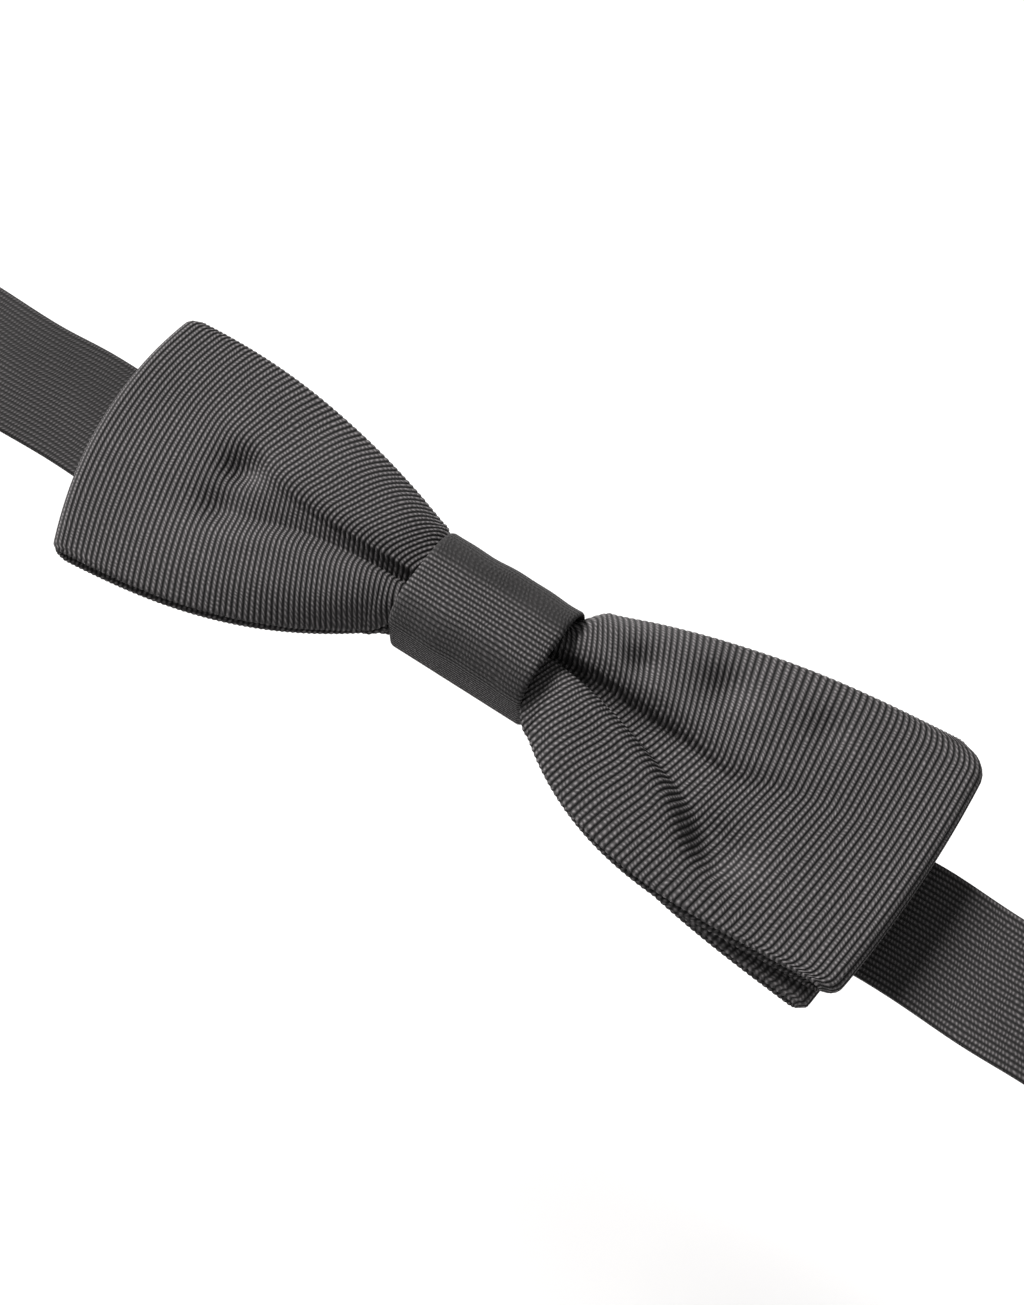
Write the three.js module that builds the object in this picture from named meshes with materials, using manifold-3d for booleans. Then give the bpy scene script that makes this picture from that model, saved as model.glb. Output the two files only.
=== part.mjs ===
// Pre-tied bow tie on an adjustable neckband, lying on its back with the band laid out straight.
// Millimetres. +X runs along the neckband, +Y is the top of the bow as worn, +Z comes out of its front.
// The origin is on the flat back of the knot, on the centre line of the neckband.
// The band is one ribbon on the real tie. Here it bends at three flex lines on each side, so that it can
// close round a neck. On the right its end runs through the slider, round the eye's bar and back to the
// slider, where it is sewn, so that moving the slider changes the neck size.

import * as THREE from 'three';
import { mergeVertices } from 'three/addons/utils/BufferGeometryUtils.js';
import Module from 'manifold-3d';

const wasm = await Module();
wasm.setup();

// ---------- driving dimensions ----------

const clearance = 0.3;              // between touching pieces
const clothThickness = 0.7;         // ribbed cloth of the bow, folded double
const bandWidth = 18;
const bandThickness = 1.0;

const knotLength = 20;              // along the band
const knotHeight = 15.6;            // top to bottom as worn
const knotOffset = 1.2;             // the knot sits a little above the band's centre line
const knotCloth = 0.8;
const knotCorner = 3.2;
const seamOffset = 4.2;             // the wrap's seam, on its back, above the centre line
const seamWidth = 1.8;
const seamDepth = 0.55;
const seamMargin = 1.5;             // from the seam's ends to the wrap's edges

const threadDiameter = 0.5;
const bindingTurns = 3;
const bindingPitch = 1.0;
const stitchDiameter = 0.4;
const closingStitchDiameter = 0.3;

const pleatMargin = 1.4;            // room between the pleated waist and the inside of the wrap
const bandTuck = 0.6;               // how much further than the pleats the band is folded in, inside the knot
const flareLength = 1.9;            // over which the cloth opens out beside the knot
const wingDroop = 1.9;              // how much lower the wing ends lie than the waist
const frontHollow = 2.0;            // between the front and back leaves
const rearHollow = 1.2;
const interliningInset = 2.0;       // from the long edges of the cloth
const paddingThickness = 1.4;

// Each wing edge runs from beside the knot to the wing's corner, and swells from the straight line
// between them by two amounts, at a third and at two thirds of the way.
const frontLoop = {
  left: {
    top: { near: 9.8, far: 17.6, swellNear: 3.6, swellFar: 4.6 },
    foot: { near: -7.2, far: -20.8, swellNear: -3.6, swellFar: -2.5 },
    reachTop: 59.3,
    reachFoot: 52.8,
    endBulge: 3.6,
  },
  right: {
    top: { near: 11.2, far: 22.0, swellNear: 3.3, swellFar: 2.9 },
    foot: { near: -6.2, far: -14.7, swellNear: -4.5, swellFar: -2.3 },
    reachTop: 61.4,
    reachFoot: 60.0,
    endBulge: 1.0,
  },
};
const rearLoop = {
  left: {
    top: { near: 9.0, far: 16.2, swellNear: 3.4, swellFar: 4.2 },
    foot: { near: -6.6, far: -19.6, swellNear: -3.4, swellFar: -2.4 },
    reachTop: 57.6,
    reachFoot: 51.4,
    endBulge: 3.4,
  },
  right: {
    top: { near: 10.2, far: 20.2, swellNear: 3.2, swellFar: 2.8 },
    foot: { near: -6.9, far: -16.8, swellNear: -4.9, swellFar: -2.5 },
    reachTop: 59.0,
    reachFoot: 58.2,
    endBulge: 0.8,
  },
};

// Distances of the flex lines from the middle of the knot. Bent by 60 degrees each, they bring the hook
// to the eye, so the first distance, doubled, plus the next stretch is the last stretch plus the ends.
const flexStations = [30, 112, 156];
const bandRampStart = knotLength / 2 + 1.5;   // beside the knot the band steps down to the flat
const bandRampEnd = bandRampStart + 6.5;

const barRadius = 0.7;                      // the bars that the band is folded round
const barSides = 16;
const metalThickness = 1.0;
const sideRailWidth = 1.5;
const hookBarAt = 166.5;                    // distance from the middle of the knot
const hookPlateLow = 0.9;                   // low enough for the tongue to pass under the eye's outer bar
const hemLength = 7;                        // sewn tail of each folded band end
const hemSlope = 2.2;                       // fold radii over which the tail comes down onto the band
const hookPlateGap = 0.4;                   // between the fold and the hook's plate
const hookPlateLength = 3.0;
const hookTongueWidth = 8;
const hookTongueLength = 5.6;
const hookThroatRadius = 1.2;
const hookTipLength = 4.4;

const sliderAt = 194;
const sliderHalfLength = 7;
const sliderBarWidth = 1.5;
const sliderCorner = 0.9;
const adjusterRampLength = 6.5;
const adjusterRampStart = 157.5;
const fixedBandEnd = 206;

const eyeBarAt = 222.2;
const turnLegLength = 3;
const eyeSlotLength = 5.0;                  // the opening that takes the hook's tongue
const eyeSlotWidth = 12;
const eyeInnerBar = 1.2;
const eyeOuterBar = 1.5;
const eyePlateGap = 3.2;                    // from the bar's axis to the plate, to swing clear of the fold
const tackZigzags = 9;
const tackSpread = 7;                       // half the length of a bar tack, across the band
const tackReach = 1.2;                      // half its width, along the band

// ---------- heights, stacked from the surface that the tie lies on ----------

const knotTubeInner = knotHeight / 2 - knotCloth;
const waistHeight = 2 * (knotTubeInner - pleatMargin);    // the pleated middle of both loops, in the knot
const bandInKnot = knotCloth + clearance;
const bindingLow = bandInKnot + bandThickness + clearance + threadDiameter / 2;
const rearThickness = 2 * clothThickness + rearHollow;
const frontThickness = 2 * clothThickness + frontHollow;
const rearMiddle = bindingLow + threadDiameter / 2 + clearance + rearThickness / 2;
const frontMiddle = rearMiddle + rearThickness / 2 + clearance + frontThickness / 2;
const bindingHigh = frontMiddle + frontThickness / 2 + clearance + threadDiameter / 2;
const paddingLow = bindingHigh + threadDiameter / 2 + clearance;
const knotInnerTop = paddingLow + paddingThickness + clearance;
const knotTop = knotInnerTop + knotCloth;

const halfBand = bandThickness / 2;
const holeRadius = barRadius + clearance;
const foldRadius = holeRadius + bandThickness;
const hemBarHeight = foldRadius;                          // bar axis inside a sewn fold
const throughBandLow = 2 * foldRadius + clearance;        // band that passes over the slider's fold
const throughBandHigh = throughBandLow + bandThickness;
const turnOuter = throughBandHigh / 2;
const turnInner = turnOuter - bandThickness;
const turnCentreAt = eyeBarAt - (turnInner - barRadius - clearance);
const railInner = bandWidth / 2 + clearance;
const railOuter = railInner + sideRailWidth;

// ---------- materials ----------

function material(color, roughness, metalness) {
  return new THREE.MeshStandardMaterial({ color, roughness, metalness });
}

const faille = material(0x4b474a, 0.75, 0);
const bandFaille = material(0x413d40, 0.78, 0);
const liningCloth = material(0xb9b4aa, 0.95, 0);
const wadding = material(0xcfcac0, 0.95, 0);
const thread = material(0x2b292b, 0.8, 0);
const gunmetal = material(0x77787c, 0.35, 0.9);

// ---------- small geometry tools ----------

const tie = new THREE.Group();

function addPiece(name, geometry, look) {
  const piece = new THREE.Mesh(geometry, look);
  piece.name = name;
  tie.add(piece);
}

function toSolid(geometry) {
  const bare = geometry.clone();
  bare.deleteAttribute('normal');
  bare.deleteAttribute('uv');
  const merged = mergeVertices(bare, 1e-4);
  return new wasm.Manifold(new wasm.Mesh({
    numProp: 3,
    vertProperties: new Float32Array(merged.attributes.position.array),
    triVerts: new Uint32Array(merged.index.array),
  }));
}

function toGeometry(solid) {
  const mesh = solid.getMesh();
  const geometry = new THREE.BufferGeometry();
  geometry.setAttribute('position', new THREE.BufferAttribute(new Float32Array(mesh.vertProperties), 3));
  geometry.setIndex(new THREE.BufferAttribute(new Uint32Array(mesh.triVerts), 1));
  return geometry;
}

function joined(...geometries) {
  return toGeometry(geometries.map(toSolid).reduce((all, next) => all.add(next)));
}

function cut(geometry, ...tools) {
  return toGeometry(tools.map(toSolid).reduce((left, tool) => left.subtract(tool), toSolid(geometry)));
}

// A shape drawn in X and Z, extruded along Y from low to high.
function alongY(shape, low, high, curveSegments = 6) {
  const geometry = new THREE.ExtrudeGeometry(shape, { depth: high - low, bevelEnabled: false, curveSegments });
  return geometry.rotateX(Math.PI / 2).translate(0, high, 0);
}

// A shape drawn in Y and Z, extruded along X from low to high.
function alongX(shape, low, high, curveSegments = 6) {
  const geometry = new THREE.ExtrudeGeometry(shape, { depth: high - low, bevelEnabled: false, curveSegments });
  return geometry.rotateX(Math.PI / 2).rotateZ(Math.PI / 2).translate(low, 0, 0);
}

function box(lowX, highX, lowY, highY, lowZ, highZ) {
  const geometry = new THREE.BoxGeometry(highX - lowX, highY - lowY, highZ - lowZ);
  return geometry.translate((lowX + highX) / 2, (lowY + highY) / 2, (lowZ + highZ) / 2);
}

function barAlongY(x, z, halfLength) {
  return new THREE.CylinderGeometry(barRadius, barRadius, 2 * halfLength, barSides).translate(x, 0, z);
}

function roundedRectangle(centreX, centreY, halfX, halfY, corner, path = new THREE.Shape()) {
  path.moveTo(centreX + halfX, centreY - halfY + corner);
  path.lineTo(centreX + halfX, centreY + halfY - corner);
  path.absarc(centreX + halfX - corner, centreY + halfY - corner, corner, 0, Math.PI / 2);
  path.lineTo(centreX - halfX + corner, centreY + halfY);
  path.absarc(centreX - halfX + corner, centreY + halfY - corner, corner, Math.PI / 2, Math.PI);
  path.lineTo(centreX - halfX, centreY - halfY + corner);
  path.absarc(centreX - halfX + corner, centreY - halfY + corner, corner, Math.PI, Math.PI * 1.5);
  path.lineTo(centreX + halfX - corner, centreY - halfY);
  path.absarc(centreX + halfX - corner, centreY - halfY + corner, corner, -Math.PI / 2, 0);
  return path;
}

function threadAlong(points, diameter, steps) {
  const section = new THREE.Shape();
  section.absarc(0, 0, diameter / 2, 0, 2 * Math.PI);
  const extrudePath = new THREE.CatmullRomCurve3(points, false, 'centripetal');
  return new THREE.ExtrudeGeometry(section, { steps, curveSegments: 3, bevelEnabled: false, extrudePath });
}

// ---------- the two loops of the bow and their interlinings ----------

const waistReach = knotLength / 2 + 2 * clearance;
const flareReach = waistReach + flareLength;

function edgeHeight(edge, waistEdge, distance, reach) {
  if (distance <= waistReach) {
    return waistEdge;
  }
  if (distance < flareReach) {
    return waistEdge + (edge.near - waistEdge) * (distance - waistReach) / flareLength;
  }
  const p = Math.min(1, (distance - flareReach) / (reach - flareReach));
  const straight = edge.near + (edge.far - edge.near) * p;
  return straight + 3 * (1 - p) ** 2 * p * edge.swellNear + 3 * (1 - p) * p ** 2 * edge.swellFar;
}

// Distance of a wing's folded end from the middle, where share runs from the foot (0) to the top (1).
function endReach(wing, share) {
  const straight = wing.reachFoot + (wing.reachTop - wing.reachFoot) * share;
  return straight + 4 * share * (1 - share) * wing.endBulge;
}

function halfOfLoop(loop) {
  return (loop === frontLoop ? frontThickness : rearThickness) / 2;
}

const wingShares = [0, 0.25, 0.5, 0.75, 1];

// Distances along the loop at which its plan is worked out, from its left fold to its right fold.
function loopStations(loop) {
  const half = halfOfLoop(loop);
  const outward = (wing) => wingShares.map((s) => flareReach + s * (wing.reachTop - half - flareReach));
  const left = [waistReach, ...outward(loop.left)].map((distance) => -distance).reverse();
  return [...left, waistReach, ...outward(loop.right)];
}

const slabStepsAcross = 8;
const slabStepsThrough = 4;

// A slab that follows a loop's plan, with half-round folded ends, between two shares of its height.
function loopSlab(loop, middle, halfThickness, lowShare, highShare, inset) {
  const stations = loopStations(loop);
  const last = stations.length - 1;
  const geometry = new THREE.BoxGeometry(2, 1, 1, last, slabStepsAcross, slabStepsThrough);
  const position = geometry.attributes.position;
  for (let i = 0; i < position.count; i += 1) {
    const index = Math.round((position.getX(i) + 1) / 2 * last);
    const share = lowShare + (highShare - lowShare) * (position.getY(i) + 0.5);
    const height = 2 * position.getZ(i) * halfThickness;
    const wing = stations[index] < 0 ? loop.left : loop.right;
    const centreReach = wing.reachTop - halfOfLoop(loop);
    const distance = Math.abs(stations[index]);
    const along = Math.max(0, distance - flareReach) / (centreReach - flareReach);
    const isEnd = index === 0 || index === last;
    const round = isEnd ? Math.sqrt(Math.max(0, halfThickness ** 2 - height ** 2)) : 0;
    const reached = distance + along * (endReach(wing, share) - wing.reachTop) + round;
    const foot = edgeHeight(wing.foot, knotOffset - waistHeight / 2, distance, centreReach) + inset;
    const top = edgeHeight(wing.top, knotOffset + waistHeight / 2, distance, centreReach) - inset;
    const droop = wingDroop * Math.max(0, distance - waistReach) / (centreReach - waistReach);
    position.setXYZ(i, Math.sign(stations[index]) * reached, foot + (top - foot) * share, middle - droop + height);
  }
  return geometry;
}

// Each loop is a flattened ring of cloth: a front leaf, a back leaf and a fold at each end.
function makeLoop(name, liningName, loop, middle, hollow) {
  const beyond = 0.05;
  const outside = loopSlab(loop, middle, hollow / 2 + clothThickness, 0, 1, 0);
  const inside = loopSlab(loop, middle, hollow / 2, -beyond, 1 + beyond, 0);
  addPiece(name, cut(outside, inside), faille);
  addPiece(liningName, loopSlab(loop, middle, hollow / 2 - clearance, 0, 1, interliningInset), liningCloth);
}

makeLoop('front_bow', 'front_interlining', frontLoop, frontMiddle, frontHollow);
makeLoop('rear_bow', 'rear_interlining', rearLoop, rearMiddle, rearHollow);

// ---------- the thread that binds the pleated waist ----------

function bindingPoint(turn) {
  const halfY = waistHeight / 2 + clearance + threadDiameter / 2;
  const halfZ = (bindingHigh - bindingLow) / 2;
  const angle = 2 * Math.PI * turn;
  const roundedCorner = 1.38;
  const squareness = Math.min(roundedCorner, 1 / Math.max(Math.abs(Math.cos(angle)), Math.abs(Math.sin(angle))));
  return new THREE.Vector3(
    bindingPitch * (turn - bindingTurns / 2),
    knotOffset + halfY * Math.cos(angle) * squareness,
    bindingLow + halfZ + halfZ * Math.sin(angle) * squareness,
  );
}

function makeBinding() {
  const pointsPerTurn = 16;
  const points = [];
  for (let i = 0; i <= bindingTurns * pointsPerTurn; i += 1) {
    points.push(bindingPoint(i / pointsPerTurn));
  }
  addPiece('waist_binding_thread', threadAlong(points, threadDiameter, 2 * points.length), thread);
}

makeBinding();

// ---------- the knot: padding, wrap and the stitches that close it ----------

function makeKnot() {
  const halfLength = knotLength / 2;
  const padding = roundedRectangle(
    knotOffset, paddingLow + paddingThickness / 2,
    waistHeight / 2, paddingThickness / 2, paddingThickness / 3,
  );
  addPiece('knot_padding', alongX(padding, clearance - halfLength, halfLength - clearance, 4), wadding);

  const tube = roundedRectangle(knotOffset, knotTop / 2, knotHeight / 2, knotTop / 2, knotCorner);
  const inside = roundedRectangle(
    knotOffset, knotTop / 2, knotTubeInner, knotTop / 2 - knotCloth, knotCorner - knotCloth, new THREE.Path(),
  );
  tube.holes.push(inside);
  const groove = box(
    seamMargin - halfLength, halfLength - seamMargin,
    seamOffset - seamWidth / 2, seamOffset + seamWidth / 2, -1, seamDepth,
  );
  addPiece('knot_wrap', cut(alongX(tube, -halfLength, halfLength), groove), faille);

  const slants = 8;
  const reach = halfLength - seamMargin - clearance - closingStitchDiameter;
  const sway = seamWidth / 2 - clearance - closingStitchDiameter / 2;
  const points = [];
  for (let i = 0; i <= slants; i += 1) {
    const y = seamOffset + (i % 2 === 0 ? -sway : sway);
    points.push(new THREE.Vector3(reach * (2 * i / slants - 1), y, closingStitchDiameter / 2));
  }
  addPiece('knot_closing_stitches', threadAlong(points, closingStitchDiameter, 5 * slants), thread);
}

makeKnot();

// ---------- the neckband ----------

const pocketRadius = halfBand + clearance;
const pocketAngle = Math.asin(halfBand / pocketRadius);

// The end nearer the knot is a hollow round that turns about its neighbour's round end.
function startAtPocket(shape, station) {
  shape.absarc(station, halfBand, pocketRadius, pocketAngle, -pocketAngle, true);
}

function straightLink(from, to) {
  const shape = new THREE.Shape();
  startAtPocket(shape, from);
  shape.lineTo(to, 0);
  shape.absarc(to, halfBand, halfBand, -Math.PI / 2, Math.PI / 2);
  shape.closePath();
  return alongY(shape, -bandWidth / 2, bandWidth / 2);
}

function centreLink() {
  const end = flexStations[0];
  const shape = new THREE.Shape();
  shape.moveTo(-end, 0);
  shape.lineTo(-bandRampEnd, 0);
  shape.lineTo(-bandRampStart, bandInKnot);
  shape.lineTo(bandRampStart, bandInKnot);
  shape.lineTo(bandRampEnd, 0);
  shape.lineTo(end, 0);
  shape.absarc(end, halfBand, halfBand, -Math.PI / 2, Math.PI / 2);
  shape.lineTo(bandRampEnd, bandThickness);
  shape.lineTo(bandRampStart, bandInKnot + bandThickness);
  shape.lineTo(-bandRampStart, bandInKnot + bandThickness);
  shape.lineTo(-bandRampEnd, bandThickness);
  shape.lineTo(-end, bandThickness);
  shape.absarc(-end, halfBand, halfBand, Math.PI / 2, Math.PI * 1.5);
  // Inside the knot the ribbon is folded in at its edges, so that it fits the wrap.
  const narrowTop = knotOffset + waistHeight / 2 - bandTuck;
  const narrowFoot = knotOffset - waistHeight / 2 + bandTuck;
  const full = bandWidth / 2;
  const taper = bandRampStart - clearance;
  const plan = new THREE.Shape();
  plan.moveTo(-end - 1, -full);
  plan.lineTo(-bandRampEnd, -full);
  plan.lineTo(-taper, narrowFoot);
  plan.lineTo(taper, narrowFoot);
  plan.lineTo(bandRampEnd, -full);
  plan.lineTo(end + 1, -full);
  plan.lineTo(end + 1, full);
  plan.lineTo(bandRampEnd, full);
  plan.lineTo(taper, narrowTop);
  plan.lineTo(-taper, narrowTop);
  plan.lineTo(-bandRampEnd, full);
  plan.lineTo(-end - 1, full);
  const planDepth = 2 * (bandInKnot + bandThickness);
  const prism = new THREE.ExtrudeGeometry(plan, { depth: planDepth, bevelEnabled: false });
  prism.translate(0, 0, -bandThickness);
  return toGeometry(toSolid(alongY(shape, -full, full)).intersect(toSolid(prism)));
}

// A band end that is folded back over a bar and sewn down. The band comes in at inner and the fold
// is round the bar; towards is 1 where the fold faces away from the knot and -1 where it faces it.
function sewnFold(startShape, inner, barAt, towards) {
  const shape = new THREE.Shape();
  const tailEnd = barAt - towards * (foldRadius + hemLength);
  const tailLands = barAt - towards * foldRadius * hemSlope;
  startShape(shape, inner);
  shape.lineTo(barAt, 0);
  shape.absarc(barAt, hemBarHeight, foldRadius, -Math.PI / 2, Math.PI / 2, towards < 0);
  shape.lineTo(barAt - towards * foldRadius / 2, hemBarHeight + foldRadius);
  shape.lineTo(tailLands, 2 * bandThickness);
  shape.lineTo(tailEnd, 2 * bandThickness);
  shape.lineTo(tailEnd, bandThickness);
  shape.closePath();
  const eye = new THREE.Path();
  eye.absarc(barAt, hemBarHeight, holeRadius, 0, 2 * Math.PI);
  shape.holes.push(eye);
  return alongY(shape, -bandWidth / 2, bandWidth / 2, 8);
}

// A zigzag of thread across the band, lying on a sewn tail.
function barTack(x, height) {
  const points = [];
  for (let i = 0; i <= 2 * tackZigzags; i += 1) {
    const y = tackSpread * (i / tackZigzags - 1);
    points.push(new THREE.Vector3(x + (i % 2 === 0 ? -tackReach : tackReach), y, height));
  }
  return threadAlong(points, stitchDiameter, 4 * tackZigzags);
}

const tackHeight = 2 * bandThickness + clearance + stitchDiameter / 2;

function makeBand() {
  addPiece('neckband_centre', centreLink(), bandFaille);
  for (let i = 0; i < 2; i += 1) {
    const link = straightLink(flexStations[i], flexStations[i + 1]);
    addPiece(`neckband_right_${i + 1}`, link, bandFaille);
    addPiece(`neckband_left_${i + 1}`, link.clone().rotateZ(Math.PI), bandFaille);
  }
}

makeBand();

// ---------- left end: the hook in its sewn fold ----------

function hookProfile(barAt) {
  const low = hookPlateLow;
  const high = low + metalThickness;
  const start = barAt + foldRadius + hookPlateGap;
  const bendAt = start + hookPlateLength + hookTongueLength;
  const middle = high + hookThroatRadius;
  const shape = new THREE.Shape();
  shape.moveTo(start, low);
  shape.lineTo(bendAt, low);
  shape.absarc(bendAt, middle, hookThroatRadius + metalThickness, -Math.PI / 2, Math.PI / 2);
  shape.lineTo(bendAt - hookTipLength, middle + hookThroatRadius + metalThickness);
  shape.lineTo(bendAt - hookTipLength, middle + hookThroatRadius);
  shape.lineTo(bendAt, middle + hookThroatRadius);
  shape.absarc(bendAt, middle, hookThroatRadius, Math.PI / 2, -Math.PI / 2, true);
  shape.lineTo(start, high);
  shape.closePath();
  return { shape, start, low, high };
}

function makeHookEnd() {
  const inner = flexStations[2];
  const fold = sewnFold(startAtPocket, inner, hookBarAt, 1);
  addPiece('neckband_left_3', fold.rotateZ(Math.PI), bandFaille);
  const tackAt = hookBarAt - foldRadius - hemLength + tackReach + 2 * clearance;
  addPiece('hook_bar_tack', barTack(-tackAt, tackHeight), thread);

  const { shape, start, low, high } = hookProfile(hookBarAt);
  const tongue = alongY(shape, -hookTongueWidth / 2, hookTongueWidth / 2, 8);
  const plate = box(start, start + hookPlateLength, -railOuter, railOuter, low, high);
  const railLow = hookBarAt - barRadius;
  const rails = [-1, 1].map((side) => {
    const near = side * railInner;
    const far = side * railOuter;
    return box(railLow, start + clearance, Math.min(near, far), Math.max(near, far), low, high);
  });
  const bar = barAlongY(hookBarAt, hemBarHeight, railInner + sideRailWidth / 2);
  addPiece('hook', joined(plate, tongue, ...rails, bar).rotateZ(Math.PI), gunmetal);
}

makeHookEnd();

// ---------- right end: slider, sewn fold, adjusting loop and eye ----------

function makeAdjusterBand() {
  const rampEnd = adjusterRampStart + adjusterRampLength;
  const shape = new THREE.Shape();
  startAtPocket(shape, flexStations[2]);
  shape.lineTo(adjusterRampStart + halfBand, 0);
  shape.lineTo(rampEnd, throughBandLow);
  shape.lineTo(fixedBandEnd, throughBandLow);
  shape.lineTo(fixedBandEnd, throughBandHigh);
  shape.lineTo(rampEnd - halfBand, throughBandHigh);
  shape.lineTo(adjusterRampStart, bandThickness);
  shape.closePath();
  addPiece('neckband_right_3', alongY(shape, -bandWidth / 2, bandWidth / 2), bandFaille);
}

function makeSlider() {
  const barHigh = throughBandHigh + clearance + metalThickness;
  const barLow = throughBandHigh + clearance;
  const sideLow = hemBarHeight - barRadius;
  const side = roundedRectangle(
    sliderAt, (sideLow + barHigh) / 2, sliderHalfLength, (barHigh - sideLow) / 2, sliderCorner,
  );
  const sides = [alongY(side, railInner, railOuter), alongY(side, -railOuter, -railInner)];
  const outerBars = [-1, 1].map((end) => {
    const far = sliderAt + end * (sliderHalfLength - sliderCorner);
    const near = far - end * sliderBarWidth;
    const reach = railInner + sideRailWidth / 2;
    return box(Math.min(near, far), Math.max(near, far), -reach, reach, barLow, barHigh);
  });
  const centreBar = barAlongY(sliderAt, hemBarHeight, railInner + sideRailWidth / 2);
  addPiece('slider', joined(...sides, ...outerBars, centreBar), gunmetal);

  const foldEnd = sliderAt + foldRadius + hemLength;
  const start = (shape, x) => shape.moveTo(x, 0);
  addPiece('slider_fold', sewnFold(start, foldEnd, sliderAt, -1), bandFaille);
  const tackAt = foldEnd - tackReach - 2 * clearance;
  addPiece('slider_bar_tack', barTack(tackAt, tackHeight), thread);
}

function makeAdjustingLoop() {
  const legEnd = turnCentreAt - turnLegLength;
  const lowerStart = sliderAt + foldRadius + hemLength + clearance;
  const halfWidth = bandWidth / 2;
  addPiece('adjuster_run_upper',
    box(fixedBandEnd + clearance, legEnd - clearance, -halfWidth, halfWidth, throughBandLow, throughBandHigh),
    bandFaille);
  addPiece('adjuster_run_lower',
    box(lowerStart, legEnd - clearance, -halfWidth, halfWidth, 0, bandThickness), bandFaille);

  const turn = new THREE.Shape();
  turn.moveTo(legEnd, 0);
  turn.lineTo(turnCentreAt, 0);
  turn.absarc(turnCentreAt, turnOuter, turnOuter, -Math.PI / 2, Math.PI / 2);
  turn.lineTo(legEnd, 2 * turnOuter);
  turn.lineTo(legEnd, 2 * turnOuter - bandThickness);
  turn.lineTo(turnCentreAt, 2 * turnOuter - bandThickness);
  turn.absarc(turnCentreAt, turnOuter, turnInner, Math.PI / 2, -Math.PI / 2, true);
  turn.lineTo(legEnd, bandThickness);
  turn.closePath();
  addPiece('adjuster_turn', alongY(turn, -halfWidth, halfWidth, 8), bandFaille);
}

function makeEye() {
  const low = turnOuter - metalThickness / 2;
  const plateStart = eyeBarAt + eyePlateGap;
  const slotStart = plateStart + eyeInnerBar;
  const plateEnd = slotStart + eyeSlotLength + eyeOuterBar;
  const plan = roundedRectangle(
    (plateStart + plateEnd) / 2, 0, (plateEnd - plateStart) / 2, railOuter, sideRailWidth,
  );
  plan.holes.push(roundedRectangle(
    slotStart + eyeSlotLength / 2, 0, eyeSlotLength / 2, eyeSlotWidth / 2, 0.8, new THREE.Path(),
  ));
  const plate = new THREE.ExtrudeGeometry(plan, { depth: metalThickness, bevelEnabled: false, curveSegments: 5 });
  plate.translate(0, 0, low);
  const railStart = eyeBarAt - barRadius;
  const railEnd = plateStart + sideRailWidth;
  const rails = [box(railStart, railEnd, railInner, railOuter, low, low + metalThickness),
    box(railStart, railEnd, -railOuter, -railInner, low, low + metalThickness)];
  const bar = barAlongY(eyeBarAt, turnOuter, railInner + sideRailWidth / 2);
  addPiece('eye', joined(plate, ...rails, bar), gunmetal);
}

makeAdjusterBand();
makeSlider();
makeAdjustingLoop();
makeEye();

export default tie;
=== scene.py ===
"""The looks of a pre-tied bow tie in ribbed faille, on an adjustable neckband with a hook and an eye.

Lengths are written in millimetres, apart from those marked as metres, and MM turns them into metres.
The tie lies on its back: +X runs along the band, +Y is the top of the bow, +Z comes out of its front.
"""

import math

import bmesh
import bpy
import numpy as np
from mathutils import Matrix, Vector


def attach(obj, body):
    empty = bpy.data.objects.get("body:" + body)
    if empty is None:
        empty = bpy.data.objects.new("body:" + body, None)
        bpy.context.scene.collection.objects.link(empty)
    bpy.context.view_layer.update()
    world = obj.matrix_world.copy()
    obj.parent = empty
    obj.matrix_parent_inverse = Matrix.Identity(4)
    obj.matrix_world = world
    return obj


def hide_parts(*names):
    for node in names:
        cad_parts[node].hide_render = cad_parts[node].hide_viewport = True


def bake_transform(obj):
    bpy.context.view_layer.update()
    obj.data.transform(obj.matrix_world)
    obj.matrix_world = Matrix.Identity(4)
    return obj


MM = 0.001

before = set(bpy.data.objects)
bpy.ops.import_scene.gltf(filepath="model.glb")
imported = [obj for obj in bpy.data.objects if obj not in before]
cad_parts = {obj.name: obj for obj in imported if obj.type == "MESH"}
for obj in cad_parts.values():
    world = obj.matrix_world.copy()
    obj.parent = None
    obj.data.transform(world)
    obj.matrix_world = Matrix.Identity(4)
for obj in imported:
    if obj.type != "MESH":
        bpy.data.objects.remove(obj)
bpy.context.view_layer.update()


def mm(*values):
    return tuple(value * MM for value in values)


def show(item):
    bpy.context.scene.collection.objects.link(item)


# ---------- camera, floor and light ----------

CAMERA_AZIMUTH = 34.3
CAMERA_ELEVATION = 66.0
CAMERA_DISTANCE = 260.0
CAMERA_TARGET = (3.0, 2.8, 0.0)
CAMERA_LENS = 55.67
FLOOR_HEIGHT = -130.0  # the closed band hangs 110 mm below the bow
FLOOR_REACH = 30.0  # metres from the floor's middle to each side
LIGHT_DISTANCE = 1.2  # metres


def direction(azimuth, elevation):
    """Unit vector towards a place seen from the object. Azimuth 0 is -Y and 90 is +X."""
    around, up = math.radians(azimuth), math.radians(elevation)
    return Vector((math.sin(around) * math.cos(up), -math.cos(around) * math.cos(up), math.sin(up)))


def make_camera():
    data = bpy.data.cameras.new("camera")
    data.lens = CAMERA_LENS
    data.sensor_width = 36
    data.clip_start = 0.01
    data.clip_end = 100
    camera = bpy.data.objects.new("camera", data)
    back = direction(CAMERA_AZIMUTH, CAMERA_ELEVATION)
    camera.location = Vector(mm(*CAMERA_TARGET)) + back * CAMERA_DISTANCE * MM
    camera.rotation_euler = back.to_track_quat("Z", "Y").to_euler()
    show(camera)
    bpy.context.scene.camera = camera


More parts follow.
